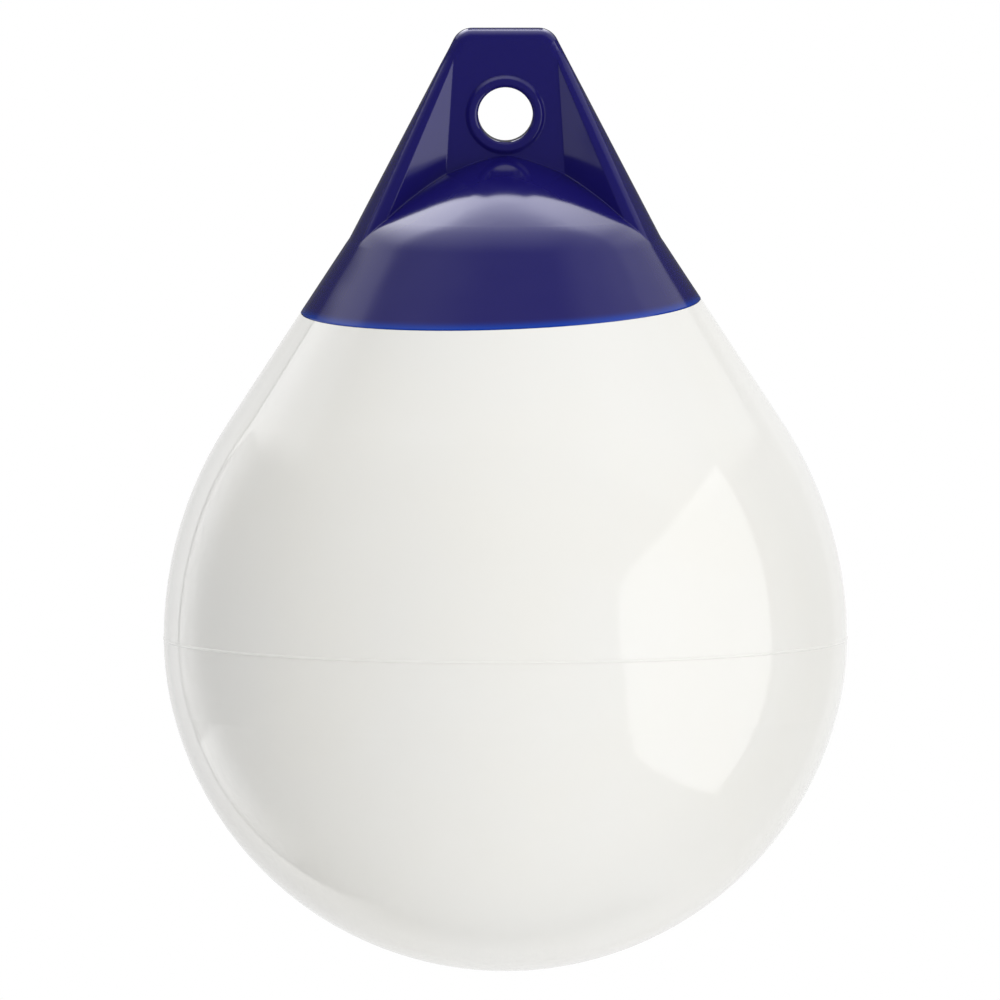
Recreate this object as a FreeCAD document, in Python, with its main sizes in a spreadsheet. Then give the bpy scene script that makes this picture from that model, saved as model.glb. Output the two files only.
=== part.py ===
"""Inflatable ball buoy with a moulded rope eye.

A round vinyl bladder carries a solid vinyl crown. The crown is one moulding: a rope eye with two
flared ribs stands on a domed shoulder, and a thin skirt laps over the bladder down to a slanted
colour line. A valve with a screw plug sits in the rear of the dome.

Frame: millimetres, +Z up, origin in the middle of the rope eye's bore, whose axis is Y. The front,
with the lower side of the colour line, faces -Y.
"""
import FreeCAD, Part
import math
import os

import Sketcher
from FreeCAD import Placement, Vector

START, END, CENTRE = range(1, 4)
AXIS_ACROSS, AXIS_UP = range(-1, -3, -1)
ORIGIN = AXIS_ACROSS
TOUCHING, PARALLEL = 1e-3, 1e-6

SIZES = [
    ("float_radius", 140.0, "widest radius of the bladder"),
    ("flank_angle", 33.3, "the upper flank, from the vertical"),
    ("flank_reach", 20.4, "how far past the axis the flank arc's centre lies"),
    ("bilge_inset", 15.0, "how far off the axis the bilge arc's centre lies"),
    ("bilge_angle", 14.0, "angle below the widest place where the bilge arc ends"),
    ("skirt_edge", 1.0, "thickness of the crown's skirt at the colour line"),
    ("skirt_taper", 2.0, "angle at which the skirt thickens upwards"),
    ("seat_shoulder_drop", 66.0, "depth below the bore where the skirt's inside turns inwards"),
    ("seat_flat_radius", 32.0, "radius of the float's flat top under the crown"),
    ("seat_flat_drop", 36.0, "depth of that flat below the bore"),
    ("seam_width", 1.2, "width of the raised seam line"),
    ("seam_height", 0.3, "how far the seam line stands proud"),
    ("shoulder_radius", 65.5, "where the flank meets the rounded shoulder"),
    ("shoulder_drop", 53.4, "depth of that circle below the bore"),
    ("shoulder_round", 39.7, "radius of the rounded shoulder"),
    ("dome_round", 176.0, "radius of the dome's arc"),
    ("dome_drop", 14.6, "depth of the dome's top below the bore"),
    ("dome_slope", 16.7, "slope at which the dome's arc leaves the axis"),
    ("colour_line_drop", 78.1, "depth of the colour line at the axis, below the bore"),
    ("colour_line_side_tilt", 2.0, "slant of the colour line to the side"),
    ("colour_line_front_tilt", 3.4, "slant of the colour line to the front"),
    ("eye_top_rise", 35.2, "top of the rope eye above the bore"),
    ("eye_top_half_width", 18.8, "half width of the eye at its top, corners left sharp"),
    ("eye_corner_round", 8.3, "rounding of the eye's two upper corners"),
    ("eye_foot_inset", 0.4, "how far the eye's side runs inside the shoulder circle"),
    ("plate_thickness", 14.0, "thickness of the eye's middle plate"),
    ("rib_top_width", 2.6, "width of a rib where the recess beside it begins"),
    ("rib_foot_width", 38.0, "from the eye's side in to the recess floor, at the foot"),
    ("facet_angle", 52.5, "slope of the recess sides, from the bore's axis"),
    ("flare_rise", 21.9, "height above the bore where the ribs start to flare"),
    ("flare_angle", 15.5, "flare of the ribs' fronts, from the vertical"),
    ("flare_round", 30.0, "radius where the plate runs into the flare"),
    ("eye_edge_round", 5.0, "rounding of the eye's outer edges"),
    ("rib_edge_round", 1.2, "rounding of the ribs' inner edges"),
    ("bore_radius", 11.2, "radius of the rope bore"),
    ("bore_mouth_round", 1.9, "rounding of the bore's two mouths"),
    ("rim_radius", 16.1, "outer radius of the raised rim round the bore"),
    ("rim_height", 1.6, "how far the rim stands off the plate"),
    ("rim_edge_chamfer", 1.4, "slant of the rim's outer edge"),
    ("valve_offset", 33.0, "distance of the valve from the crown's axis, to the rear"),
    ("valve_recess_radius", 9.5, "radius of the round recess that the valve lies in"),
    ("valve_recess_depth", 2.6, "depth of that recess below the dome"),
    ("valve_flange_radius", 7.5, "radius of the valve's flange"),
    ("valve_flange_thickness", 2.2, "thickness of that flange"),
    ("valve_stem_radius", 5.0, "radius of the valve's stem"),
    ("valve_stem_length", 12.0, "length of the stem below the flange"),
    ("valve_bore_radius", 2.6, "radius of the bore through the valve"),
    ("plug_head_radius", 4.6, "radius of the plug's head"),
    ("plug_head_thickness", 1.6, "thickness of the plug's head"),
    ("plug_head_sink", 1.2, "how deep the head sits in the flange"),
    ("plug_clearance", 0.1, "play between the plug and the valve"),
    ("plug_shank_length", 9.0, "length of the plug's shank"),
    ("plug_slot_width", 1.4, "width of the screwdriver slot"),
    ("plug_slot_depth", 0.9, "depth of the screwdriver slot"),
]

# Heights and radii that several outlines share, as expressions on the sheet.
FLANK_ROUND = "(sizes.float_radius + sizes.flank_reach)"
FLANK_RUN = f"({FLANK_ROUND} * cos(sizes.flank_angle * 1deg) - sizes.flank_reach - sizes.shoulder_radius)"
EQUATOR_DROP = (
    f"(sizes.shoulder_drop + {FLANK_RUN} / tan(sizes.flank_angle * 1deg)"
    f" + {FLANK_ROUND} * sin(sizes.flank_angle * 1deg))"
)
BILGE_ROUND = "(sizes.float_radius - sizes.bilge_inset)"
BOWL_RISE = "(sizes.bilge_inset * tan(sizes.bilge_angle * 1deg))"
SKIRT_RADIUS = (
    "(sizes.shoulder_radius + (sizes.colour_line_drop - sizes.shoulder_drop) * tan(sizes.flank_angle * 1deg)"
    " - sizes.skirt_edge / cos(sizes.flank_angle * 1deg))"
)
SEAT_DEPTH = (
    "(sizes.colour_line_drop + sizes.float_radius"
    " * tan((sizes.colour_line_side_tilt + sizes.colour_line_front_tilt) * 1deg))"
)
SEAM_ROUND = "(((sizes.seam_width / 2) ^ 2 + sizes.seam_height ^ 2) / (2 * sizes.seam_height))"
RECESS_RISE = "(sizes.flare_rise + sizes.flare_round * tan(sizes.flare_angle * 0.5deg))"
EYE_FOOT_RADIUS = "(sizes.shoulder_radius - sizes.eye_foot_inset)"
RECESS_HALF_WIDTH = (
    f"(sizes.eye_top_half_width + (sizes.eye_top_rise - {RECESS_RISE})"
    f" * ({EYE_FOOT_RADIUS} - sizes.eye_top_half_width)"
    " / (sizes.eye_top_rise + sizes.shoulder_drop) - sizes.rib_top_width)"
)
DOME_CENTRE_DROP = "(sizes.dome_drop + sizes.dome_round * cos(sizes.dome_slope * 1deg))"
VALVE_LEAN = "asin(sizes.valve_offset / sizes.dome_round + sin(sizes.dome_slope * 1deg))"
VALVE_HEIGHT = f"(sizes.dome_round * cos({VALVE_LEAN}) - {DOME_CENTRE_DROP})"

doc = FreeCAD.newDocument("mooring_buoy")
sheet = doc.addObject("Spreadsheet::Sheet", "sizes")
for row, (alias, value, meaning) in enumerate(SIZES, start=1):
    sheet.set(f"A{row}", meaning)
    sheet.set(f"B{row}", str(value))
    sheet.setAlias(f"B{row}", alias)
doc.recompute()


def size(alias):
    return float(sheet.get(alias))


def evaluate(expression):
    return float(sheet.evalExpression(expression.replace("sizes.", "")))


def sine(alias):
    return math.sin(math.radians(size(alias)))


def cosine(alias):
    return math.cos(math.radians(size(alias)))


def tangent(alias):
    return math.tan(math.radians(size(alias)))


def new_body(name):
    body = doc.addObject("PartDesign::Body", name)
    body.Label = name
    body.Placement = Placement()
    return body


def origin_plane(body, role):
    return next(item for item in body.Origin.OriginFeatures if item.Role == role)


class Outline:
    """A sketch on one of a body's own planes: lines and arcs, joined and bound to the sheet."""

    def __init__(self, body, name, role="XZ_Plane"):
        self.sketch = body.newObject("Sketcher::SketchObject", name)
        self.sketch.AttachmentSupport = [(origin_plane(body, role), "")]
        self.sketch.MapMode = "FlatFace"

    def line(self, first, last):
        segment = Part.LineSegment(Vector(*first, 0), Vector(*last, 0))
        return self.sketch.addGeometry(segment, False)

    def arc(self, centre, radius, first_angle, last_angle):
        circle = Part.Circle(Vector(*centre, 0), Vector(0, 0, 1), radius)
        return self.sketch.addGeometry(Part.ArcOfCircle(circle, first_angle, last_angle), False)

    def circle(self, centre, radius):
        return self.sketch.addGeometry(Part.Circle(Vector(*centre, 0), Vector(0, 0, 1), radius), False)

    def tie(self, kind, *references):
        self.sketch.addConstraint(Sketcher.Constraint(kind, *references))

    def bind(self, expression, kind, *references):
        """Add a constraint whose value comes from the sheet; the last reference is its start value."""
        index = self.sketch.addConstraint(Sketcher.Constraint(kind, *references))
        self.sketch.setExpression(f"Constraints[{index}]", expression)

    def place(self, geometry, point, across, up, start):
        """Give a point its two coordinates, each an expression or a fixed zero."""
        for kind, expression, value, axis in (
            ("DistanceX", across, start[0], AXIS_UP),
            ("DistanceY", up, start[1], AXIS_ACROSS),
        ):
            if expression == "0":
                self.tie("PointOnObject", geometry, point, axis)
            else:
                self.bind(expression, kind, ORIGIN, START, geometry, point, value)

    def move(self, height, turn=None):
        """Lift the sketch along its plane's normal, both given as expressions."""
        self.sketch.setExpression("AttachmentOffset.Base.z", height)
        if turn:
            for angle, expression in turn.items():
                self.sketch.setExpression(f"AttachmentOffset.Rotation.{angle}", expression)


def feature(body, kind, name, outline, **settings):
    """Add a sketch-based feature and recompute."""
    item = body.newObject(f"PartDesign::{kind}", name)
    item.Profile = outline.sketch
    for key, value in settings.items():
        setattr(item, key, value)
    outline.sketch.Visibility = False
    doc.recompute()
    return item


def turn(body, kind, name, outline):
    """Revolve an outline fully round the upright axis, to add or to cut."""
    return feature(body, kind, name, outline, ReferenceAxis=(outline.sketch, ["V_Axis"]), Angle=360)


def dress_edges(body, kind, name, base, amount, wanted):
    """Fillet or chamfer the edges of a feature that the test wanted(edge) picks."""
    edges = [
        f"Edge{i}"
        for i, edge in enumerate(base.Shape.Edges, start=1)
        if not edge.Degenerated and wanted(edge)
    ]
    dressing = body.newObject(f"PartDesign::{kind}", name)
    dressing.Base = (base, edges)
    dressing.setExpression({"Fillet": "Radius", "Chamfer": "Size"}[kind], amount)
    doc.recompute()
    return dressing


def equator_height():
    flank_round = size("float_radius") + size("flank_reach")
    run = flank_round * cosine("flank_angle") - size("flank_reach") - size("shoulder_radius")
    return -(size("shoulder_drop") + run / tangent("flank_angle") + flank_round * sine("flank_angle"))


def seam_crossing(centre_across, radius):
    """Where the seam's circle crosses an arc with its centre at the widest place: across and up."""
    seam_round = evaluate(SEAM_ROUND)
    apart = size("float_radius") + size("seam_height") - seam_round - centre_across
    across = (radius ** 2 - seam_round ** 2 + apart ** 2) / (2 * apart)
    return centre_across + across, math.sqrt(radius ** 2 - across ** 2)


def lower_arcs(outline):
    """Draw the bowl and the bilge, up to the seam; return both arcs and the widest place's height."""
    equator = equator_height()
    inset = size("bilge_inset")
    bilge_round = size("float_radius") - inset
    bowl_rise = inset * tangent("bilge_angle")
    bowl_round = bilge_round + inset / cosine("bilge_angle")
    joint = -math.radians(size("bilge_angle"))
    across, up = seam_crossing(inset, bilge_round)
    bowl = outline.arc((0, equator + bowl_rise), bowl_round, -math.pi / 2, joint)
    bilge = outline.arc((inset, equator), bilge_round, joint, math.atan2(-up, across - inset))
    outline.place(bowl, CENTRE, "0", f"-{EQUATOR_DROP} + {BOWL_RISE}", (0, equator + bowl_rise))
    outline.tie("PointOnObject", bowl, START, AXIS_UP)
    outline.tie("Tangent", bowl, END, bilge, START)
    outline.place(bilge, CENTRE, "sizes.bilge_inset", f"-{EQUATOR_DROP}", (inset, equator))
    outline.bind(BILGE_ROUND, "Radius", bilge, bilge_round)
    return bowl, bilge, equator


def flank_arc(outline, bilge, equator, angle):
    """Draw the fine ridge of the seam at the widest place, and the arc from it up to the flank."""
    centre = (-size("flank_reach"), equator)
    flank_round = size("float_radius") + size("flank_reach")
    seam_round = evaluate(SEAM_ROUND)
    seam_centre = (size("float_radius") + size("seam_height") - seam_round, equator)
    lower_across, lower_up = seam_crossing(size("bilge_inset"), size("float_radius") - size("bilge_inset"))
    across, up = seam_crossing(centre[0], flank_round)
    seam = outline.arc(
        seam_centre,
        seam_round,
        math.atan2(-lower_up, lower_across - seam_centre[0]),
        math.atan2(up, across - seam_centre[0]),
    )
    flank = outline.arc(centre, flank_round, math.atan2(up, across - centre[0]), angle)
    outline.place(
        seam,
        CENTRE,
        f"sizes.float_radius + sizes.seam_height - {SEAM_ROUND}",
        f"-{EQUATOR_DROP}",
        seam_centre,
    )
    outline.bind(SEAM_ROUND, "Radius", seam, seam_round)
    outline.tie("Coincident", bilge, END, seam, START)
    outline.tie("Coincident", seam, END, flank, START)
    outline.place(flank, CENTRE, "-sizes.flank_reach", f"-{EQUATOR_DROP}", centre)
    outline.bind(FLANK_ROUND, "Radius", flank, flank_round)
    return flank


def outer_outline(body, name):
    """The buoy's outer half section without the rope eye: bowl, seam, flank, shoulder and dome."""
    outline = Outline(body, name)
    bowl, bilge, equator = lower_arcs(outline)
    angle = math.radians(size("flank_angle"))
    flank = flank_arc(outline, bilge, equator, angle)
    outward = Vector(math.cos(angle), math.sin(angle), 0)
    upward = Vector(-math.sin(angle), math.cos(angle), 0)
    flank_round = size("float_radius") + size("flank_reach")
    flank_end = Vector(-size("flank_reach"), equator, 0) + outward * flank_round
    dome_centre = Vector(
        -size("dome_round") * sine("dome_slope"),
        -size("dome_drop") - size("dome_round") * cosine("dome_slope"),
        0,
    )
    # The shoulder's centre lies its own radius inside the flank and touches the dome's circle.
    start = flank_end - outward * size("shoulder_round") - dome_centre
    reach = size("dome_round") - size("shoulder_round")
    run = -start.dot(upward) + math.sqrt(start.dot(upward) ** 2 - start.dot(start) + reach ** 2)
    shoulder_centre = dome_centre + start + upward * run
    meeting = math.atan2(shoulder_centre.y - dome_centre.y, shoulder_centre.x - dome_centre.x)
    straight_end = shoulder_centre + outward * size("shoulder_round")
    straight = outline.line(flank_end[:2], straight_end[:2])
    shoulder = outline.arc(shoulder_centre[:2], size("shoulder_round"), angle, meeting)
    dome = outline.arc(
        dome_centre[:2], size("dome_round"), meeting, math.pi / 2 - math.radians(size("dome_slope"))
    )
    spine = outline.line((0, -size("dome_drop")), (0, equator - bowl_depth()))
    outline.tie("Tangent", flank, END, straight, START)
    outline.bind("90 + sizes.flank_angle", "Angle", straight, angle + math.pi / 2)
    outline.tie("Tangent", straight, END, shoulder, START)
    outline.bind("sizes.shoulder_round", "Radius", shoulder, size("shoulder_round"))
    outline.tie("Tangent", shoulder, END, dome, START)
    outline.place(
        dome,
        CENTRE,
        "-sizes.dome_round * sin(sizes.dome_slope * 1deg)",
        f"-{DOME_CENTRE_DROP}",
        dome_centre[:2],
    )
    outline.place(dome, END, "0", "-sizes.dome_drop", (0, -size("dome_drop")))
    outline.tie("Coincident", dome, END, spine, START)
    outline.tie("Coincident", spine, END, bowl, START)
    return outline


def bowl_depth():
    bilge_round = size("float_radius") - size("bilge_inset")
    bowl_round = bilge_round + size("bilge_inset") / cosine("bilge_angle")
    return bowl_round - size("bilge_inset") * tangent("bilge_angle")


def seat_outline(body, name):
    """Half section of the float's top under the crown: the skirt's inside, a shallow cone and a flat."""
    outline = Outline(body, name)
    lap = evaluate(SKIRT_RADIUS)
    slant = math.radians(size("flank_angle") + size("skirt_taper"))
    foot_level = -evaluate(SEAT_DEPTH)
    foot = (lap - (foot_level + size("colour_line_drop")) * math.tan(slant), foot_level)
    shoulder_level = -size("seat_shoulder_drop")
    shoulder = (lap - (shoulder_level + size("colour_line_drop")) * math.tan(slant), shoulder_level)
    rim = (size("seat_flat_radius"), -size("seat_flat_drop"))
    skirt = outline.line(foot, shoulder)
    slope = outline.line(shoulder, rim)
    flat = outline.line(rim, (0, rim[1]))
    spine = outline.line((0, rim[1]), (0, foot_level))
    floor = outline.line((0, foot_level), foot)
    mark = outline.sketch.addGeometry(Part.Point(Vector(lap, -size("colour_line_drop"), 0)), True)
    for first, second in ((skirt, slope), (slope, flat), (flat, spine), (spine, floor), (floor, skirt)):
        outline.tie("Coincident", first, END, second, START)
    outline.tie("Horizontal", floor)
    outline.tie("Horizontal", flat)
    outline.tie("PointOnObject", spine, START, AXIS_UP)
    outline.tie("PointOnObject", spine, END, AXIS_UP)
    outline.place(mark, START, SKIRT_RADIUS, "-sizes.colour_line_drop", (lap, -size("colour_line_drop")))
    outline.tie("PointOnObject", mark, START, skirt)
    outline.bind("90 + sizes.flank_angle + sizes.skirt_taper", "Angle", skirt, slant + math.pi / 2)
    outline.bind("-sizes.seat_shoulder_drop", "DistanceY", ORIGIN, START, skirt, END, shoulder_level)
    outline.bind(f"-{SEAT_DEPTH}", "DistanceY", ORIGIN, START, skirt, START, foot_level)
    outline.place(slope, END, "sizes.seat_flat_radius", "-sizes.seat_flat_drop", rim)
    return outline


def cut_at_colour_line(body, name, reverse):
    """Cut the body away on one side of the slanted plane where the two colours meet."""
    outline = Outline(body, f"{name}_outline", "XY_Plane")
    disc = outline.circle((0, 0), 2 * size("float_radius"))
    outline.tie("Coincident", disc, CENTRE, ORIGIN, START)
    outline.bind("2 * sizes.float_radius", "Radius", disc, 2 * size("float_radius"))
    outline.move(
        "-sizes.colour_line_drop",
        {"Pitch": "-sizes.colour_line_side_tilt * 1deg", "Roll": "sizes.colour_line_front_tilt * 1deg"},
    )
    return feature(body, "Pocket", name, outline, Type=1, Reversed=reverse)


def make_float_body():
    body = new_body("float_body")
    turn(body, "Revolution", "skin_outside", outer_outline(body, "skin_outline"))
    cut_at_colour_line(body, "above_colour_line", True)
    turn(body, "Revolution", "top_under_crown", seat_outline(body, "top_outline"))
    cut_valve_hole(body)
    return body


def eye_outline(body, name):
    """Half of the eye's outline, to be turned into the cone that its two sides belong to."""
    outline = Outline(body, name)
    foot = Vector(size("shoulder_radius") - size("eye_foot_inset"), -size("shoulder_drop"), 0)
    corner = Vector(size("eye_top_half_width"), size("eye_top_rise"), 0)
    side = (corner - foot).normalize()
    lean = math.atan2(-side.x, side.y)
    tangent_length = size("eye_corner_round") * math.tan((math.pi / 2 - lean) / 2)
    side_end = corner - side * tangent_length
    round_centre = Vector(corner.x - tangent_length, corner.y - size("eye_corner_round"), 0)
    flank = outline.line(foot[:2], side_end[:2])
    corner_arc = outline.arc(round_centre[:2], size("eye_corner_round"), lean, math.pi / 2)
    top = outline.line((round_centre.x, corner.y), (0, corner.y))
    spine = outline.line((0, corner.y), (0, foot.y))
    bottom = outline.line((0, foot.y), foot[:2])
    mark = outline.sketch.addGeometry(Part.Point(Vector(corner.x, corner.y, 0)), True)
    outline.tie("Tangent", flank, END, corner_arc, START)
    outline.tie("Tangent", corner_arc, END, top, START)
    outline.tie("Coincident", top, END, spine, START)
    outline.tie("Coincident", spine, END, bottom, START)
    outline.tie("Coincident", bottom, END, flank, START)
    outline.tie("Horizontal", top)
    outline.tie("Horizontal", bottom)
    outline.tie("PointOnObject", spine, START, AXIS_UP)
    outline.tie("PointOnObject", spine, END, AXIS_UP)
    outline.place(
        flank,
        START,
        EYE_FOOT_RADIUS,
        "-sizes.shoulder_drop",
        foot[:2],
    )
    outline.place(mark, START, "sizes.eye_top_half_width", "sizes.eye_top_rise", corner[:2])
    outline.tie("PointOnObject", mark, START, flank)
    outline.tie("PointOnObject", mark, START, top)
    outline.bind("sizes.eye_corner_round", "Radius", corner_arc, size("eye_corner_round"))
    return outline


def side_cut_outline(body, name):
    """What is cut off in front of the eye: upright along the plate, then flaring out at the ribs."""
    outline = Outline(body, name, "YZ_Plane")
    half = size("plate_thickness") / 2
    flare = math.radians(size("flare_angle"))
    run_out = size("flare_round") * math.tan(flare / 2)
    upper = size("eye_top_rise") + size("plate_thickness")
    lower = -size("shoulder_drop") - size("plate_thickness")
    outer = -2 * size("shoulder_radius")
    bend_centre = (-half - size("flare_round"), size("flare_rise") + run_out)
    bend_end = (
        bend_centre[0] + size("flare_round") * math.cos(flare),
        bend_centre[1] - size("flare_round") * math.sin(flare),
    )
    foot = (bend_end[0] - (bend_end[1] - lower) * math.tan(flare), lower)
    upright = outline.line((-half, upper), (-half, bend_centre[1]))
    bend = outline.arc(bend_centre, size("flare_round"), -flare, 0)
    slant = outline.line(foot, bend_end)
    floor = outline.line(foot, (outer, lower))
    front = outline.line((outer, lower), (outer, upper))
    ceiling = outline.line((outer, upper), (-half, upper))
    outline.tie("Tangent", upright, END, bend, END)
    outline.tie("Tangent", bend, START, slant, END)
    outline.tie("Coincident", slant, START, floor, START)
    outline.tie("Coincident", floor, END, front, START)
    outline.tie("Coincident", front, END, ceiling, START)
    outline.tie("Coincident", ceiling, END, upright, START)
    outline.tie("Vertical", upright)
    outline.tie("Horizontal", floor)
    outline.tie("Vertical", front)
    outline.tie("Horizontal", ceiling)
    outline.bind("90 - sizes.flare_angle", "Angle", slant, math.pi / 2 - flare)
    outline.bind("sizes.flare_round", "Radius", bend, size("flare_round"))
    outline.place(upright, END, "-sizes.plate_thickness / 2", RECESS_RISE, (-half, bend_centre[1]))
    outline.place(
        front,
        START,
        "-2 * sizes.shoulder_radius",
        "-sizes.shoulder_drop - sizes.plate_thickness",
        (outer, lower),
    )
    outline.bind(
        "sizes.eye_top_rise + sizes.plate_thickness",
        "DistanceY",
        ORIGIN,
        START,
        ceiling,
        END,
        upper,
    )
    return outline


def recess_outline(body, name):
    """Floor of the recess between the ribs, on the face of the plate."""
    outline = Outline(body, name)
    rise = evaluate(RECESS_RISE)
    lower = -size("shoulder_drop") - size("plate_thickness")
    top = evaluate(RECESS_HALF_WIDTH)
    foot = evaluate(EYE_FOOT_RADIUS) - size("rib_foot_width")
    right = outline.line((foot, lower), (top, rise))
    ceiling = outline.line((top, rise), (-top, rise))
    left = outline.line((-top, rise), (-foot, lower))
    floor = outline.line((-foot, lower), (foot, lower))
    for first, second in ((right, ceiling), (ceiling, left), (left, floor), (floor, right)):
        outline.tie("Coincident", first, END, second, START)
    outline.tie("Symmetric", ceiling, START, ceiling, END, AXIS_UP)
    outline.tie("Symmetric", floor, START, floor, END, AXIS_UP)
    outline.place(right, END, RECESS_HALF_WIDTH, RECESS_RISE, (top, rise))
    outline.place(
        right,
        START,
        f"{EYE_FOOT_RADIUS} - sizes.rib_foot_width",
        "-sizes.shoulder_drop - sizes.plate_thickness",
        (foot, lower),
    )
    outline.move("sizes.plate_thickness / 2")
    return outline


def disc_outline(body, name, radius, role="XZ_Plane"):
    """A circle round the sketch's own origin, its radius given as an expression on the sheet."""
    outline = Outline(body, name, role)
    disc = outline.circle((0, 0), evaluate(radius))
    outline.tie("Coincident", disc, CENTRE, ORIGIN, START)
    outline.bind(radius, "Radius", disc, evaluate(radius))
    return outline


def at_valve(outline):
    """Lay a sketch on the dome where the valve is, square to the dome."""
    outline.sketch.setExpression("AttachmentOffset.Base.y", "sizes.valve_offset")
    outline.move(VALVE_HEIGHT, {"Roll": f"-{VALVE_LEAN}"})
    return outline


def mirror(body, name, item):
    """Repeat a cut of the front on the rear."""
    copy = body.newObject("PartDesign::Mirrored", name)
    copy.Originals = [item]
    copy.MirrorPlane = (origin_plane(body, "XZ_Plane"), [""])
    body.Tip = copy
    doc.recompute()
    return copy


def bind_length(item, expression):
    item.setExpression("Length", expression)
    doc.recompute()
    return item


def middle_of(face):
    first_u, last_u, first_v, last_v = face.ParameterRange
    return face.valueAt((first_u + last_u) / 2, (first_v + last_v) / 2)


def is_round_the_axis(face):
    """True on the eye's top and on the surfaces that were turned round the upright axis."""
    if isinstance(face.Surface, Part.Plane):
        return face.Surface.Axis.isParallel(Vector(0, 0, 1), PARALLEL) and middle_of(face).z > 0
    return isinstance(face.Surface, (Part.Cone, Part.Toroid)) and face.Surface.Axis.isParallel(
        Vector(0, 0, 1), PARALLEL
    )


def is_across_the_eye(face):
    """True on the plate's faces, the flared rib fronts and the bend between them."""
    if isinstance(face.Surface, Part.Plane):
        normal = face.Surface.Axis
        return abs(normal.x) < PARALLEL and abs(normal.y) > abs(normal.z)
    return isinstance(face.Surface, Part.Cylinder) and face.Surface.Axis.isParallel(
        Vector(1, 0, 0), PARALLEL
    )


def is_rib_front(face):
    """True on the ribs' fronts only, not on the plate between them."""
    return is_across_the_eye(face) and abs(middle_of(face).y) > size("plate_thickness") / 2 + TOUCHING


def is_facet(face):
    """True on the flat, slanting sides of the two recesses."""
    flat = face.findPlane() is not None
    return flat and not is_across_the_eye(face) and not is_round_the_axis(face)


def is_rim_edge(edge):
    """True on the rim's two outer corners."""
    return is_ring_round_bore(edge, size("rim_radius")) and abs(edge.discretize(2)[0].y) > (
        size("plate_thickness") + size("rim_height")
    ) / 2


def is_bore_mouth(edge):
    return is_ring_round_bore(edge, size("bore_radius"))


def is_ring_round_bore(edge, radius):
    """True on an edge that circles the bore's axis at the given radius, square to it."""
    spots = edge.discretize(7)
    return all(
        abs(math.hypot(spot.x, spot.z) - radius) < TOUCHING and abs(spot.y - spots[0].y) < TOUCHING
        for spot in spots
    )


def edge_between(shape, first_kind, second_kind):
    """A test that is true on an edge with one face of each kind beside it."""

    def wanted(edge):
        faces = shape.ancestorsOfType(edge, Part.Face)
        if len(faces) != 2:
            return False
        one, other = faces
        return (first_kind(one) and second_kind(other)) or (first_kind(other) and second_kind(one))

    return wanted


def make_rope_eye_crown():
    body = new_body("rope_eye_crown")
    turn(body, "Revolution", "eye_cone", eye_outline(body, "eye_outline"))
    side_cut = feature(
        body,
        "Pocket",
        "front_side_cut",
        side_cut_outline(body, "side_cut_outline"),
        SideType="Symmetric",
    )
    bind_length(side_cut, "4 * sizes.shoulder_radius")
    rear_cut = mirror(body, "rear_side_cut", side_cut)
    dress_edges(
        body,
        "Fillet",
        "rounded_eye",
        rear_cut,
        "sizes.eye_edge_round",
        edge_between(rear_cut.Shape, is_round_the_axis, is_across_the_eye),
    )
    recess = feature(
        body, "Pocket", "front_recess", recess_outline(body, "recess_outline"), Reversed=True
    )
    recess.setExpression("TaperAngle", "sizes.facet_angle")
    bind_length(recess, "sizes.shoulder_radius")
    rear_recess = mirror(body, "rear_recess", recess)
    dress_edges(
        body,
        "Fillet",
        "rounded_ribs",
        rear_recess,
        "sizes.rib_edge_round",
        edge_between(rear_recess.Shape, is_facet, is_rib_front),
    )
    rim = feature(
        body,
        "Pad",
        "rim_round_bore",
        disc_outline(body, "rim_outline", "sizes.rim_radius"),
        SideType="Symmetric",
    )
    bind_length(rim, "sizes.plate_thickness + 2 * sizes.rim_height")
    dress_edges(body, "Chamfer", "bevelled_rim", rim, "sizes.rim_edge_chamfer", is_rim_edge)
    turn(body, "Revolution", "dome_and_skirt", outer_outline(body, "dome_outline"))
    cut_at_colour_line(body, "below_colour_line", False)
    turn(body, "Groove", "float_seat", seat_outline(body, "float_seat_outline"))
    bore = feature(
        body,
        "Pocket",
        "rope_bore",
        disc_outline(body, "bore_outline", "sizes.bore_radius"),
        SideType="Symmetric",
    )
    bind_length(bore, "2 * sizes.plate_thickness + 4 * sizes.rim_height")
    dress_edges(body, "Fillet", "rounded_bore", bore, "sizes.bore_mouth_round", is_bore_mouth)
    recess_disc = at_valve(
        disc_outline(body, "valve_recess_outline", "sizes.valve_recess_radius", "XY_Plane")
    )
    bind_length(
        feature(body, "Pocket", "valve_recess", recess_disc), "sizes.valve_recess_depth"
    )
    cut_valve_hole(body)
    return body


def cut_valve_hole(body):
    """The hole that the valve's stem goes through, in the crown and in the bladder."""
    hole_disc = at_valve(disc_outline(body, "valve_hole_outline", "sizes.valve_stem_radius", "XY_Plane"))
    bind_length(
        feature(body, "Pocket", "valve_hole", hole_disc),
        "sizes.valve_recess_depth + sizes.valve_stem_length + sizes.valve_stem_radius",
    )


def stand_at_valve(body):
    """Put a turned piece where the valve is, its upright axis square to the dome."""
    body.setExpression("Placement.Base.y", "sizes.valve_offset")
    body.setExpression("Placement.Base.z", VALVE_HEIGHT)
    body.setExpression("Placement.Rotation.Roll", f"-{VALVE_LEAN}")


def stepped_outline(body, name, corners):
    """A closed outline of upright and level lines: each corner is a pair of expressions."""
    outline = Outline(body, name)
    spots = [(evaluate(across), evaluate(up)) for across, up in corners]
    sides = [outline.line(spot, spots[(i + 1) % len(spots)]) for i, spot in enumerate(spots)]
    for i, side in enumerate(sides):
        outline.tie("Coincident", side, END, sides[(i + 1) % len(sides)], START)
        outline.place(side, START, *corners[i], spots[i])
    return outline


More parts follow.
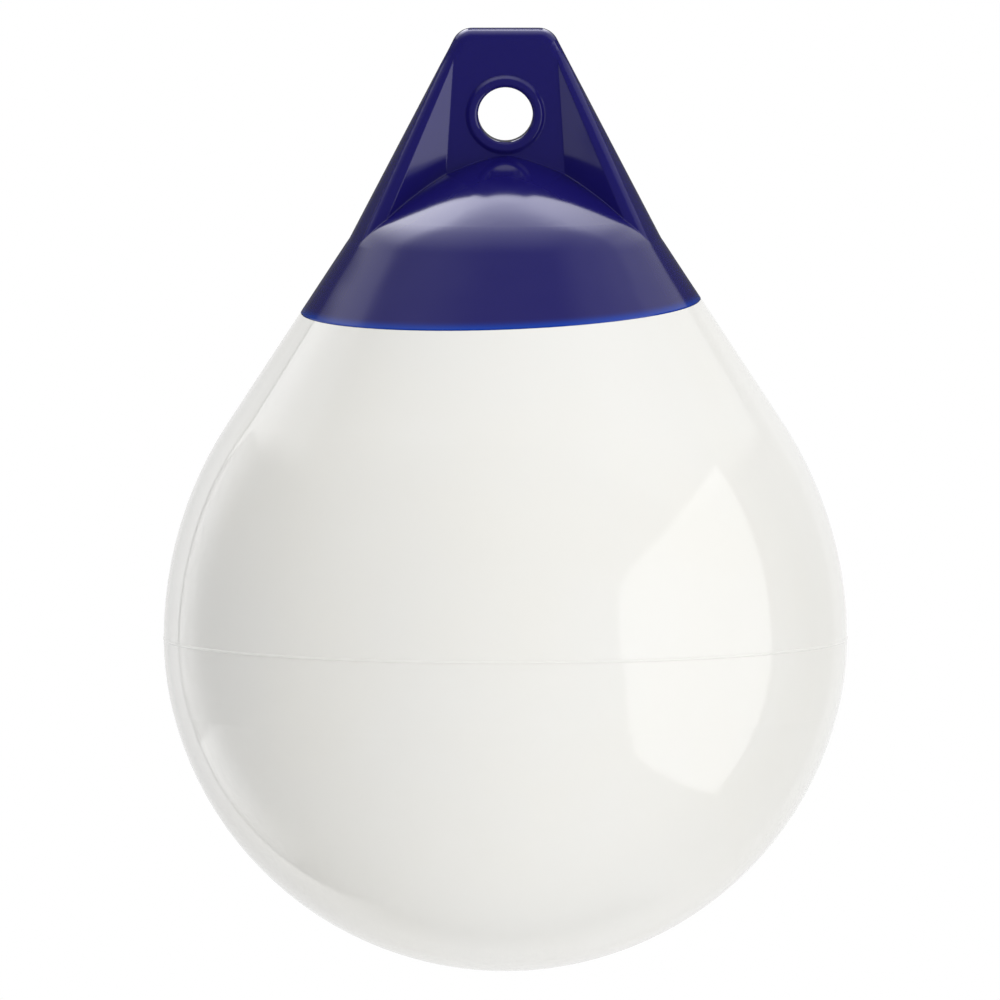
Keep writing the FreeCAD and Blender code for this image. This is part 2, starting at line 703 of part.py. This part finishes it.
def make_valve_body():
    """The valve insert: a flange in the recess, a stem through the wall, a bore with a head seat."""
    body = new_body("valve_body")
    floor = "-sizes.valve_recess_depth"
    flange_top = "sizes.valve_flange_thickness - sizes.valve_recess_depth"
    seat = f"{flange_top} - sizes.plug_head_sink"
    foot = "-sizes.valve_recess_depth - sizes.valve_stem_length"
    head_room = "sizes.plug_head_radius + sizes.plug_clearance"
    corners = [
        ("sizes.valve_bore_radius", foot),
        ("sizes.valve_stem_radius", foot),
        ("sizes.valve_stem_radius", floor),
        ("sizes.valve_flange_radius", floor),
        ("sizes.valve_flange_radius", flange_top),
        (head_room, flange_top),
        (head_room, seat),
        ("sizes.valve_bore_radius", seat),
    ]
    turn(body, "Revolution", "turned_valve", stepped_outline(body, "valve_outline", corners))
    stand_at_valve(body)
    return body


def make_valve_plug():
    """The screw plug: a slotted head on a shank that fills the valve's bore."""
    body = new_body("valve_plug")
    seat = "sizes.valve_flange_thickness - sizes.valve_recess_depth - sizes.plug_head_sink"
    head_top = f"{seat} + sizes.plug_head_thickness"
    foot = f"{seat} - sizes.plug_shank_length"
    shank = "sizes.valve_bore_radius - sizes.plug_clearance"
    corners = [
        ("0", foot),
        (shank, foot),
        (shank, seat),
        ("sizes.plug_head_radius", seat),
        ("sizes.plug_head_radius", head_top),
        ("0", head_top),
    ]
    turn(body, "Revolution", "turned_plug", stepped_outline(body, "plug_outline", corners))
    slot = Outline(body, "slot_outline", "XY_Plane")
    half_length = size("plug_head_radius") + size("plug_slot_width")
    half_width = size("plug_slot_width") / 2
    corners = [
        (half_length, -half_width),
        (half_length, half_width),
        (-half_length, half_width),
        (-half_length, -half_width),
    ]
    sides = [slot.line(corner, corners[(i + 1) % 4]) for i, corner in enumerate(corners)]
    for i, side in enumerate(sides):
        slot.tie("Coincident", side, END, sides[(i + 1) % 4], START)
        slot.tie("Vertical" if i % 2 == 0 else "Horizontal", side)
    slot.tie("Symmetric", sides[0], START, sides[2], START, ORIGIN, START)
    slot.place(
        sides[0],
        END,
        "sizes.plug_head_radius + sizes.plug_slot_width",
        "sizes.plug_slot_width / 2",
        corners[1],
    )
    slot.move(head_top)
    bind_length(feature(body, "Pocket", "screwdriver_slot", slot), "sizes.plug_slot_depth")
    stand_at_valve(body)
    return body


PIECES = [make_float_body(), make_rope_eye_crown(), make_valve_body(), make_valve_plug()]
doc.recompute()

for item in doc.Objects:
    if "Invalid" in item.State or "Error" in item.State:
        raise RuntimeError(f"{item.Name} failed: {item.State}")
for piece in PIECES:
    if piece.Shape.isNull() or not piece.Shape.isValid() or len(piece.Shape.Solids) != 1:
        raise RuntimeError(f"{piece.Label} has no valid solid")

os.makedirs("parts", exist_ok=True)
for piece in PIECES:
    piece.Shape.exportStep(f"parts/{piece.Label}.step")
    print(piece.Label, "volume", round(piece.Shape.Volume), "mm3")
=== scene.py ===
# %% [markdown]
# # A glossy white ball buoy with a navy rope eye
# The real object is blown up like a ball: a round skin of soft white vinyl, with a solid navy moulding on
# top that a rope goes through. Both are very smooth, so most of what the eye sees is reflected light. This
# lesson takes the finished solids, lights them like a product picture and gives each its own finish. Places
# are in metres and are counted from the middle of the rope eye's bore, unless a line says otherwise.

import math

import bpy
from mathutils import Matrix, Vector


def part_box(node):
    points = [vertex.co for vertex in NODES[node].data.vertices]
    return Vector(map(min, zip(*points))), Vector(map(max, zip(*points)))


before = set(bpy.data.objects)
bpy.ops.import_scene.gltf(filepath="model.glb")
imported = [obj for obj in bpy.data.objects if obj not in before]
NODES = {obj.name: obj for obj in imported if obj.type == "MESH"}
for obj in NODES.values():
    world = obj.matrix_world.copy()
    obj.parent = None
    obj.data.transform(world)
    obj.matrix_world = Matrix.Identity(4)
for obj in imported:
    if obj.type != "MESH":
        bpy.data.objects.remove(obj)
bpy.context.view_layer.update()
FLOAT_LOW, FLOAT_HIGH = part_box("float_body")
CROWN_LOW, CROWN_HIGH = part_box("rope_eye_crown")
print("float from", round(FLOAT_LOW.z, 4), "to", round(FLOAT_HIGH.z, 4))
print("crown from", round(CROWN_LOW.z, 4), "to", round(CROWN_HIGH.z, 4))

# %% [markdown]
# ## A camera like the photographer's
# The picture was taken from far away with a long lens, a little above the ball's middle. Far away matters:
# a near camera would see less of the ball's sides and make the rope eye look small beside it. The frame's
# width at the buoy is a real length, so the lens follows from it and the distance. Turning the camera by
# hand until it looked right would be another way, but nothing would say why it stands where it does.

# %% Camera
FRAME_WIDTH = 0.4091
CAMERA_DISTANCE = 12.0
CAMERA_ELEVATION = math.radians(3.94)
CAMERA_AZIMUTH = math.radians(0.0)
FRAME_CENTRE_ASIDE = -0.0022
FRAME_CENTRE_BELOW = 0.158
SENSOR_WIDTH = 36.0
SIGHT_END = 100.0


def aim_camera():
    """Place the camera so that the frame's centre lies where the photograph has it."""
    across = Vector((math.cos(CAMERA_AZIMUTH), math.sin(CAMERA_AZIMUTH), 0))
    level = Vector((-math.sin(CAMERA_AZIMUTH), math.cos(CAMERA_AZIMUTH), 0))
    ahead = level * math.cos(CAMERA_ELEVATION) - Vector((0, 0, math.sin(CAMERA_ELEVATION)))
    upward = across.cross(ahead)
    centre = across * FRAME_CENTRE_ASIDE - upward * FRAME_CENTRE_BELOW
    data = bpy.data.cameras.new("long_lens")
    data.sensor_width = SENSOR_WIDTH
    data.lens = SENSOR_WIDTH * CAMERA_DISTANCE / FRAME_WIDTH
    data.clip_end = SIGHT_END
    camera = bpy.data.objects.new("camera", data)
    turned = Matrix((across, upward, -ahead)).transposed()
    camera.matrix_world = Matrix.Translation(centre - ahead * CAMERA_DISTANCE) @ turned.to_4x4()
    bpy.context.scene.collection.objects.link(camera)
    bpy.context.scene.camera = camera
    return camera


camera = aim_camera()
print("camera:", [round(v, 3) for v in camera.location], "lens", round(camera.data.lens), "mm")

# %% [markdown]
# ## Shader sums as plain formulas
# A finish is a formula: this much of one colour where the surface is high, that much where it is low. The
# nodes for it could be added one by one, but then the formula is lost among them. The class below lets it
# be written as Python. Each operator adds the node that works it out, and node() adds any other kind.

# %% A socket that can be used in a formula
class Socket:
    """One output of a shader node."""

    def __init__(self, tree, output):
        self.tree = tree
        self.output = output

    def node(self, kind, settings=None, inputs=None, output=0):
        """Add a node: its settings first, then the values or links of its sockets."""
        item = self.tree.nodes.new(kind)
        for key, value in (settings or {}).items():
            setattr(item, key, value)
        for key, value in (inputs or {}).items():
            plug(self.tree, item.inputs[key], value)
        return Socket(self.tree, item.outputs[output])

    def sum(self, operation, *values):
        return self.node("ShaderNodeMath", {"operation": operation}, dict(enumerate(values)))

    def __add__(self, other):
        return self.sum("ADD", self, other)

    def __radd__(self, other):
        return self.sum("ADD", other, self)

    def __sub__(self, other):
        return self.sum("SUBTRACT", self, other)

    def __rsub__(self, other):
        return self.sum("SUBTRACT", other, self)

    def __mul__(self, other):
        return self.sum("MULTIPLY", self, other)

    def __rmul__(self, other):
        return self.sum("MULTIPLY", other, self)

    def __truediv__(self, other):
        return self.sum("DIVIDE", self, other)

    def __rtruediv__(self, other):
        return self.sum("DIVIDE", other, self)

    def __pow__(self, other):
        return self.sum("POWER", self, other)

    def __rpow__(self, other):
        return self.sum("POWER", other, self)

    def __abs__(self):
        return self.sum("ABSOLUTE", self)


def plug(tree, socket, value):
    """Give a socket its value, or link it to a formula."""
    if isinstance(value, Socket):
        tree.links.new(value.output, socket)
    else:
        socket.default_value = value


def source(tree, kind, output):
    """Where a formula starts: a node that needs no input."""
    return Socket(tree, tree.nodes.new(kind).outputs[output])


# %% [markdown]
# ## Runs and mixtures
# Most of the formulas below are made of a few moves: fade from 0 to 1, go from a low value to a high one,
# mix two colours, or follow a line through some stops. Each is one function here, so that the finishes and
# the lights can be read in words.

# %% Runs and mixtures
def fade(value, start, end):
    """0 before start, 1 after end, and a smooth run between them."""
    inputs = {"Value": value, "From Min": start, "From Max": end}
    return value.node("ShaderNodeMapRange", {"interpolation_type": "SMOOTHSTEP"}, inputs)


def between(share, low, high):
    """Low where the share is 0, and high where it is 1."""
    return low + share * (high - low)


def mix(share, first, second):
    """The first colour where the share is 0, and the second where it is 1."""
    inputs = {0: share, 6: (*first, 1.0), 7: (*second, 1.0)}
    return share.node("ShaderNodeMix", {"data_type": "RGBA"}, inputs, output=2)


def by_stops(value, stops):
    """A run of straight pieces through the stops: pairs of a place and what the run is there."""
    total = stops[0][1]
    for (here, low), (there, high) in zip(stops, stops[1:]):
        inputs = {"Value": value, "From Min": here, "From Max": there, "To Max": high - low}
        total = value.node("ShaderNodeMapRange", {}, inputs) + total
    return total


# %% [markdown]
# ## Where a point is
# Every finish here is laid out in the buoy's own frame, in metres, so it stays with the surface whichever
# side it is seen from. The object coordinate gives that place. An unwrapped mesh would do it too, but a
# ball has no good place for the cuts, and a finish that fills space needs none.

# %% A material and its own coordinates
BEVEL_SAMPLES = 8


def new_finish(name, plain):
    """A material with one Principled shader; plain holds the values that are the same all over."""
    material = bpy.data.materials.new(name)
    material.use_nodes = True
    tree = material.node_tree
    shader = tree.nodes["Principled BSDF"]
    for key, value in plain.items():
        shader.inputs[key].default_value = value
    return material, shader, source(tree, "ShaderNodeTexCoord", "Object")


def feed(shader, key, formula):
    """Let a formula set one socket of the shader."""
    plug(shader.id_data, shader.inputs[key], formula)


def apart(place):
    """The three coordinates of a place."""
    return tuple(place.node("ShaderNodeSeparateXYZ", {}, {0: place}, output=i) for i in range(3))


def noise(place, scale, detail):
    return place.node("ShaderNodeTexNoise", {}, {"Vector": place, "Scale": scale, "Detail": detail})


def bump(height, depth, crease=0.0):
    """A surface that follows a height, with every sharp edge and corner eased over the crease's width."""
    inputs = {"Distance": depth, "Height": height}
    if crease:
        inputs["Normal"] = height.node("ShaderNodeBevel", {"samples": BEVEL_SAMPLES}, {"Radius": crease})
    return height.node("ShaderNodeBump", {}, inputs)


def dress(node, finish):
    """Give a solid its finish."""
    NODES[node].data.materials.clear()
    NODES[node].data.materials.append(finish)
    print(node, "gets", finish.name, "made of", len(finish.node_tree.nodes), "nodes")


# %% [markdown]
# ## White vinyl
# The float's skin is soft vinyl that was turned in a hot mould, so it is as smooth as the mould was. The
# white is warm and very even. What breaks it up is small: a slow waviness from the blown-up skin, which
# bends the edges of reflections, and a hardly visible cloudiness in the colour and the gloss. Waves in the
# mesh would need a far finer mesh, for a height of a few tenths of a millimetre, so a bump makes them.

# %% White vinyl
WHITE_VINYL = (0.86, 0.855, 0.825)
WARM_SHARES = (1.0, 0.995, 0.98)
WHITE_IOR = 1.53
WHITE_ROUGHNESS = (0.06, 0.10)
CLOUD_EDGES = (0.35, 0.65)
WHITE_GRAIN_SHARE = 0.003
WHITE_SWELL_DEPTH = 0.0006


def white_vinyl():
    material, shader, place = new_finish("white_vinyl", {"IOR": WHITE_IOR})
    warmer = tuple(value * share for value, share in zip(WHITE_VINYL, WARM_SHARES))
    clouds = noise(place, scale=9.0, detail=3.0)
    feed(shader, "Base Color", mix(fade(clouds, *CLOUD_EDGES), WHITE_VINYL, warmer))
    feed(shader, "Roughness", between(clouds, *WHITE_ROUGHNESS))
    swell = noise(place, scale=14.0, detail=1.0)
    grain = noise(place, scale=900.0, detail=2.0)
    feed(shader, "Normal", bump(swell + grain * WHITE_GRAIN_SHARE, WHITE_SWELL_DEPTH))
    return material


dress("float_body", white_vinyl())

# %% [markdown]
# ## Navy vinyl
# The crown is the same vinyl in deep navy. Its skirt runs out to a thin edge over the white skin, and
# there light gets through, so the last millimetres glow a brighter blue. Real light through the edge would
# need a shell that lets it in. Here the height over the colour line's slanted plane says how thin the
# skirt is, and that glow is painted into the colour from it. The moulding's sharpest edges are eased in
# their shading alone.

# %% Navy vinyl
NAVY_VINYL = (0.010, 0.0075, 0.120)
EDGE_GLOW_NAVY = (0.0, 0.04, 0.36)
NAVY_IOR = 1.7
NAVY_GLOSS_TINT = (0.8, 0.8, 1.0, 1.0)
NAVY_ROUGHNESS = (0.09, 0.14)
NAVY_GRAIN_SHARE = 0.0004
NAVY_SWELL_DEPTH = 0.0002
CREASE = 0.0009
COLOUR_LINE_DROP = 0.0781
COLOUR_LINE_SLOPES = (0.035, 0.059)
THIN_EDGE_HEIGHTS = (0.0003, 0.0042)
THIN_EDGE_POWER = 1.6


def navy_vinyl():
    plain = {"IOR": NAVY_IOR, "Specular Tint": NAVY_GLOSS_TINT}
    material, shader, place = new_finish("navy_vinyl", plain)
    across, along, up = apart(place)
    height = up + COLOUR_LINE_DROP - across * COLOUR_LINE_SLOPES[0] - along * COLOUR_LINE_SLOPES[1]
    # Painted glow: a brighter blue in the colour where the skirt is thin, standing in for light through its
    # edge.
    thin = (1.0 - fade(height, *THIN_EDGE_HEIGHTS)) ** THIN_EDGE_POWER
    feed(shader, "Base Color", mix(thin, NAVY_VINYL, EDGE_GLOW_NAVY))
    clouds = noise(place, scale=25.0, detail=3.0)
    feed(shader, "Roughness", between(clouds, *NAVY_ROUGHNESS))
    swell = noise(place, scale=40.0, detail=1.0)
    grain = noise(place, scale=700.0, detail=2.0)
    feed(shader, "Normal", bump(swell + grain * NAVY_GRAIN_SHARE, NAVY_SWELL_DEPTH, CREASE))
    return material


dress("rope_eye_crown", navy_vinyl())

# %% [markdown]
# ## Valve plastic
# The valve insert and its screw plug are hard moulded plastic, dull beside the vinyl. One function makes
# both, because they differ only in tone. A very fine grain, as a matt mould leaves it, sets the colour, the
# gloss and the bump together, so that a high spot is lighter and duller too.

# %% Valve plastic
VALVE_TONE = 0.03
PLUG_TONE = 0.05
VALVE_IOR = 1.5
COOL_SHARES = (1.0, 1.0, 1.05)
LIGHT_SHARES = (1.3, 1.3, 1.35)
GRAIN_EDGES = (0.3, 0.7)
VALVE_ROUGHNESS = (0.3, 0.45)
VALVE_GRAIN_DEPTH = 0.00005


def valve_plastic(name, tone):
    material, shader, place = new_finish(name, {"IOR": VALVE_IOR})
    low = tuple(tone * share for share in COOL_SHARES)
    high = tuple(tone * share for share in LIGHT_SHARES)
    grain = noise(place, scale=1500.0, detail=2.0)
    feed(shader, "Base Color", mix(fade(grain, *GRAIN_EDGES), low, high))
    feed(shader, "Roughness", between(grain, *VALVE_ROUGHNESS))
    feed(shader, "Normal", bump(grain, VALVE_GRAIN_DEPTH))
    return material


dress("valve_body", valve_plastic("valve_plastic", VALVE_TONE))
dress("valve_plug", valve_plastic("plug_plastic", PLUG_TONE))

# %% [markdown]
# ## The studio
# A glossy thing is lit by what it reflects, so the room is laid out as the gloss of the real one shows it:
# a big soft box at the right, a ceiling screen that is brightest behind, pale walls at the left, behind and
# at the right, and a dark room in front. No one set of walls gave both vinyls their look, so the walls are
# seen only by the white float, and two smaller screens only by the crown. Two lamps in front give plain
# light and don't show in the gloss. Each light has a level of its own, and the levels are kept together
# here, because a change in one asks for a change in the next.

# %% Light levels
LIGHT_LEVELS = {
    "ceiling": 1.0,
    "soft_box": 1.3,
    "left_wall": 1.0,
    "left_screen": 0.5,
    "backdrop": 1.0,
    "right_wall": 1.0,
    "back_screen": 0.03,
    "even_fill": 0.12,
    "top_fill": 1.29,
    "key": 1.71,
    "side_key": 0.76,
    "room": 0.09,
}
print("lights:", ", ".join(LIGHT_LEVELS))

# %% [markdown]
# ## Flat sheets
# Floor, screens and lamps are flat sheets that differ in their outline and in what they give off. A sheet
# is one face with its own bare material, and two shaders added up make its surface.

# %% Flat sheets
def bare_sheet(name, corners):
    """A flat sheet with an empty material; return the sheet and the material's nodes."""
    mesh = bpy.data.meshes.new(name)
    mesh.from_pydata([Vector(corner) for corner in corners], [], [tuple(range(len(corners)))])
    sheet = bpy.data.objects.new(name, mesh)
    bpy.context.scene.collection.objects.link(sheet)
    material = bpy.data.materials.new(name)
    material.use_nodes = True
    material.node_tree.nodes.clear()
    mesh.materials.append(material)
    return sheet, material.node_tree


def show_both(first, second):
    """Make the sum of two shaders the surface."""
    both = first.node("ShaderNodeAddShader", {}, {0: first, 1: second})
    output = first.tree.nodes.new("ShaderNodeOutputMaterial")
    first.tree.links.new(both.output, output.inputs["Surface"])


def level_sheet(front_left, back_right, up):
    """The corners of a level rectangle."""
    (left, front), (right, back) = front_left, back_right
    return [(left, front, up), (right, front, up), (right, back, up), (left, back, up)]


# %% [markdown]
# ## Floor
# The buoy hangs, so the floor lies well below it, out of the frame. It throws light back up onto the
# underside, as a studio's white floor does, and it shows in views from above. Its own glow is for the
# camera only: it makes the floor pale there and adds no light to the buoy.

# %% Floor
FLOOR_WHITE = 0.86
FLOOR_BELOW = 0.45
FLOOR_REACH = 1.8
CAMERA_WHITE = 0.6


def pale_floor():
    level = FLOAT_LOW.z - FLOOR_BELOW
    corners = level_sheet((-FLOOR_REACH, -FLOOR_REACH), (FLOOR_REACH, FLOOR_REACH), level)
    floor, tree = bare_sheet("floor", corners)
    ray = source(tree, "ShaderNodeLightPath", "Is Camera Ray")
    plain = (FLOOR_WHITE, FLOOR_WHITE, FLOOR_WHITE, 1.0)
    diffuse = ray.node("ShaderNodeBsdfDiffuse", {}, {"Color": plain})
    glow = ray.node("ShaderNodeEmission", {}, {"Strength": ray * CAMERA_WHITE})
    show_both(diffuse, glow)
    floor.visible_glossy = False
    return floor


floor = pale_floor()
print("floor at", round(floor.data.vertices[0].co.z, 3))

# %% [markdown]
# ## Screens and lamps
# A lamp of Blender's own is one even patch. The real screens run from bright to dim, and that run is what
# shapes the highlights, so each one here is a glowing sheet with a formula for its brightness. A sheet
# lets light through from behind, casts no shadow and stays out of the camera's sight. A screen shows in
# the gloss and lights nothing else. A lamp does the opposite.

# %% A glowing sheet
BALL_MIDDLE = Vector((0, 0, -0.2148))


def emitter(name, corners, formula, gloss=True, only=None):
    """A screen, or a lamp where gloss is off; with only it is seen by that one solid."""
    sheet, tree = bare_sheet(name, corners)
    place = source(tree, "ShaderNodeTexCoord", "Object")
    glow = place.node("ShaderNodeEmission", {}, {"Strength": formula(place)})
    clear = place.node("ShaderNodeBsdfTransparent")
    show_both(glow, clear)
    if only:
        seen_by = bpy.data.collections.new(f"{name} is seen by")
        seen_by.objects.link(NODES[only])
        sheet.light_linking.receiver_collection = seen_by
    sheet.visible_camera = False
    sheet.visible_shadow = False
    sheet.visible_diffuse = not gloss
    sheet.visible_glossy = gloss
    print("screen" if gloss else "lamp", name, "for", only or "the whole buoy")


def even(level):
    """The same brightness all over."""
    return lambda place: LIGHT_LEVELS[level]


def round_ball(corners):
    """Corners counted from the ball's middle."""
    return [BALL_MIDDLE + Vector(corner) for corner in corners]


def upright_sheet(start, end, foot, top):
    """The corners of an upright rectangle over a line on the floor."""
    return [(*start, foot), (*end, foot), (*end, top), (*start, top)]


# %% [markdown]
# ## Ceiling screen
# The band of light over the navy shoulder is a big screen overhead, which also shows faintly on the ball's
# upper flanks. Its brightness grows towards the back in straight runs, so the light on the shoulder grows
# slowly from below. A dark strip in the middle of its back ends that light sharply under the rope eye, and
# the screen dims towards both sides. Places on it are counted in heights of the ceiling.

# %% Ceiling screen
CEILING_UP = 1.3
CEILING_FRONT_LEFT = (-2.0, -0.7)
CEILING_BACK_RIGHT = (2.0, 2.3)
CEILING_STOPS = [
    (-0.7, 0.1), (-0.55, 0.25), (-0.4, 0.45), (-0.15, 0.85), (0.05, 1.2),
    (0.2, 1.6), (0.3, 2.4), (0.43, 4.2), (0.65, 4.6),
]
GLOW_MIDDLE = -0.15
GLOW_DIMMING = {"start": 0.15, "end": 1.1, "share": 0.8}
ENDS_MIDDLE = 0.1
ENDS_DIMMING = {"start": 1.2, "end": 1.6, "share": 0.1}
ENDS_CUT = {"start": 1.6, "end": 2.0, "share": 1.0}
RIGHT_DIMMING = {"start": 1.0, "end": 1.5, "share": 0.35}
DARK_STRIP_FRONT = (0.68, 0.72)
DARK_STRIP_EDGE = (0.25 / CEILING_UP, 0.4 / CEILING_UP)
DARK_STRIP_SHARE = 0.93
RIGHT_PATCH_EDGE = (0.45, 0.85)
RIGHT_PATCH_BACK = (0.1, 0.45)
RIGHT_PATCH_LEVEL = 0.28


def dimmed(value, start, end, share):
    """1 before start, and less by the share past the end."""
    return 1.0 - fade(value, start, end) * share


def ceiling_glow(place):
    """Brightness of the ceiling screen: brightest behind, dim in front and far aside."""
    across, along = (coordinate / CEILING_UP for coordinate in apart(place)[:2])
    outward = abs(across - ENDS_MIDDLE)
    strip = fade(along, *DARK_STRIP_FRONT) * (1.0 - fade(abs(across), *DARK_STRIP_EDGE))
    patch = fade(across, *RIGHT_PATCH_EDGE) * (1.0 - fade(along, *RIGHT_PATCH_BACK))
    glow = by_stops(along, CEILING_STOPS) * dimmed(abs(across - GLOW_MIDDLE), **GLOW_DIMMING)
    glow = glow * dimmed(outward, **ENDS_DIMMING) * dimmed(outward, **ENDS_CUT)
    glow = glow * dimmed(across, **RIGHT_DIMMING) * (1.0 - strip * DARK_STRIP_SHARE)
    return (glow + patch * RIGHT_PATCH_LEVEL) * LIGHT_LEVELS["ceiling"]


ceiling = level_sheet(
    [share * CEILING_UP for share in CEILING_FRONT_LEFT],
    [share * CEILING_UP for share in CEILING_BACK_RIGHT],
    CEILING_UP,
)
emitter("ceiling", ceiling, ceiling_glow)

# %% [markdown]
# ## Soft box at the right
# The large bright patch on the ball's right half is a soft box, mirrored. Its outline on the ball is bent,
# because the ball mirrors straight edges as curves, so the box itself is laid out flat beside the ball and
# the mirroring does the bending. Painting the patch on the skin would look right from one side only.

# %% Soft box at the right
SIDE_AWAY = 1.3
# Each corner is a pair: how far back, and how far up from the ball's middle.
SOFT_BOX_CORNERS = [
    (0.20, 0.90), (0.16, 0.10), (0.18, -0.60), (0.17, -1.03), (-0.31, -1.14),
    (-0.87, -1.21), (-1.15, -1.19), (-1.39, -0.85), (-1.64, -0.15), (-1.70, 0.07),
    (-1.70, 0.27), (-1.68, 0.47), (-1.60, 0.62), (-1.39, 0.72),
]
soft_box = [(SIDE_AWAY, along, up) for along, up in SOFT_BOX_CORNERS]
emitter("soft_box", round_ball(soft_box), even("soft_box"))

# %% [markdown]
# ## Walls at the left
# Along its left limb the ball shows a pale band with a soft inner edge: a wall that gets brighter towards
# the back. Its brightness is one run along the wall times another from the floor up. The crown mirrors
# that side as one even, dimmer tone, so it gets a screen of its own.

# %% Walls at the left
ALONG = 1
LEFT_STOPS = [
    (-1.3, 0.15), (0.1, 0.2), (0.5, 0.5), (0.7, 0.92), (0.87, 1.5), (1.05, 2.0), (1.37, 2.3), (1.65, 2.1),
]
LEFT_UP_STOPS = [(-1.6, 0.1), (-0.9, 0.55), (-0.3, 0.95), (0.5, 1.0), (0.9, 0.75), (1.3, 0.15)]
LEFT_WALL_ENDS = (-1.3, 1.65)
LEFT_WALL_HEIGHTS = (-1.6, 1.3)


def wall_glow(level, axis, stops, up_stops):
    """Brightness of a wall: one run along an axis, times another from the floor up."""

    def glow(place):
        spot = apart(place)
        lengthwise = by_stops(spot[axis], stops)
        upwards = by_stops(spot[2] - BALL_MIDDLE.z, up_stops)
        return lengthwise * upwards * LIGHT_LEVELS[level]

    return glow


left_wall = upright_sheet(*((-SIDE_AWAY, end) for end in LEFT_WALL_ENDS), *LEFT_WALL_HEIGHTS)
left_glow = wall_glow("left_wall", ALONG, LEFT_STOPS, LEFT_UP_STOPS)
emitter("left_wall", round_ball(left_wall), left_glow, only="float_body")
left_screen = [
    (-SIDE_AWAY, 1.6, -0.6), (-SIDE_AWAY, -0.4, -0.4), (-SIDE_AWAY, -0.4, 0.8),
    (-SIDE_AWAY, 1.4, 0.8), (-SIDE_AWAY, 1.7, 0.5),
]
emitter("left_screen", round_ball(left_screen), even("left_screen"), only="rope_eye_crown")

# %% [markdown]
# ## Walls behind and at the right
# At the limbs a ball mirrors what stands behind it, and the real one shows a pale room there. Both walls
# reach far down and fade out towards the floor, so that no hard line shows where they end. The crown
# takes hardly anything from behind, only a faint screen.

# %% Walls behind and at the right
ACROSS = 0
UP_STOPS = [(-3.3, 0.0), (-2.0, 0.7), (-0.3, 1.0), (0.6, 1.0), (1.45, 0.4)]
BACKDROP_STOPS = [(-1.5, 1.35), (-0.9, 0.88), (0.0, 0.82), (1.25, 0.92)]
RIGHT_STOPS = [(0.28, 0.12), (0.47, 0.2), (0.75, 0.35), (1.15, 0.6), (2.0, 0.85)]
ROOM_LEFT, ROOM_RIGHT = -1.5, 1.32
ROOM_BACK = 2.0
WALL_FOOT, WALL_TOP = -3.4, 1.45

backdrop = upright_sheet((ROOM_LEFT, ROOM_BACK), (ROOM_RIGHT, ROOM_BACK), WALL_FOOT, WALL_TOP)
backdrop_glow = wall_glow("backdrop", ACROSS, BACKDROP_STOPS, UP_STOPS)
emitter("backdrop", round_ball(backdrop), backdrop_glow, only="float_body")
right_wall = [
    (ROOM_RIGHT, 0.25, WALL_FOOT), (ROOM_RIGHT, ROOM_BACK, WALL_FOOT),
    (ROOM_RIGHT, ROOM_BACK, WALL_TOP), (ROOM_RIGHT, 0.28, WALL_TOP),
]
right_glow = wall_glow("right_wall", ALONG, RIGHT_STOPS, UP_STOPS)
emitter("right_wall", round_ball(right_wall), right_glow, only="float_body")
back_screen = upright_sheet((-0.7, 2.1), (0.5, 2.1), -0.4, 0.45)
emitter("back_screen", round_ball(back_screen), even("back_screen"), only="rope_eye_crown")

# %% [markdown]
# ## Key lamps
# The plain light on the white skin falls off slowly from the front to the left. Two large lamps in front
# and to the right give that, one beside the other. They would show as two more patches in the gloss, which
# the real one doesn't have, so they only light.

# %% Key lamps
LAMP_HEIGHTS = (-0.9, 0.8)
key = upright_sheet((-0.32, -2.26), (1.40, -1.80), *LAMP_HEIGHTS)
emitter("key", round_ball(key), even("key"), gloss=False)
side_key = upright_sheet((1.38, -1.82), (2.26, -0.28), *LAMP_HEIGHTS)
emitter("side_key", round_ball(side_key), even("side_key"), gloss=False)

# %% [markdown]
# ## The room
# What is left between the screens is the room itself, and it is three things at once. The camera sees
# plain white past the buoy. The gloss mirrors a dark room, which gives the navy its depth. All other light
# is an even fill with more of it from above. Its run is smooth, so it needs no sampling map of its own.

# %% The room
ROOM_WHITE = (1.0, 1.0, 1.0, 1.0)


def dark_room():
    world = bpy.data.worlds.new("room")
    world.use_nodes = True
    tree = world.node_tree
    tree.nodes.clear()
    seen = source(tree, "ShaderNodeLightPath", "Is Camera Ray")
    mirrored = source(tree, "ShaderNodeLightPath", "Is Glossy Ray")
    up = apart(source(tree, "ShaderNodeTexCoord", "Generated"))[2]
    fill = LIGHT_LEVELS["even_fill"] + fade(up, 0.0, 1.0) * LIGHT_LEVELS["top_fill"]
    strength = seen + mirrored * LIGHT_LEVELS["room"] + (1.0 - seen - mirrored) * fill
    inputs = {"Color": ROOM_WHITE, "Strength": strength}
    back = seen.node("ShaderNodeBackground", {}, inputs)
    output = tree.nodes.new("ShaderNodeOutputWorld")
    tree.links.new(back.output, output.inputs["Surface"])
    world.cycles.sampling_method = "NONE"
    bpy.context.scene.world = world
    return world


room = dark_room()
bpy.context.scene.view_settings.view_transform = "Standard"
print("room of", len(room.node_tree.nodes), "nodes")
